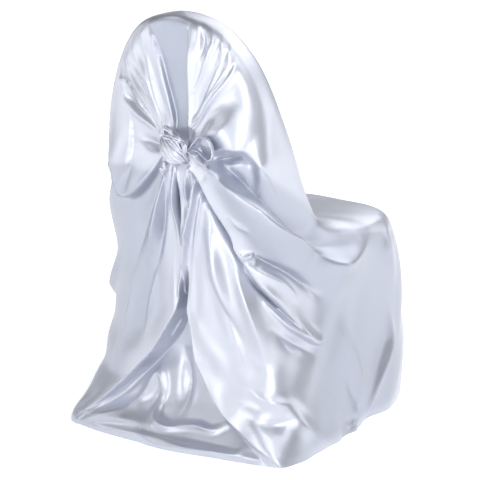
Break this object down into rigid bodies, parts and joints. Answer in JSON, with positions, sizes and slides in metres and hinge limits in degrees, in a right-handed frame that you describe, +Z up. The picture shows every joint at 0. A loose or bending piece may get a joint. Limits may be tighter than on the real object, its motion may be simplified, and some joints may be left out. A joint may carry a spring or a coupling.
{
  "type": "chair cover",
  "caption": "Loose floor-length satin cover for a round-backed chair, its cloth gathered at the rear into a knot with swags and flaps below",
  "frame": {"origin": "on the floor, under the middle of the cover's overall box", "axes": "+Z up, -Y towards the front edge of the seat, -X towards the sitter's right"},
  "size_m": [0.5821, 0.6492, 0.9285],
  "materials": {
    "satin": "satin"
  },
  "bodies": {
    "root": {"cover_cloth": "satin", "tie_knot": "satin", "tie_loop": "satin"}
  },
  "joints": []
}
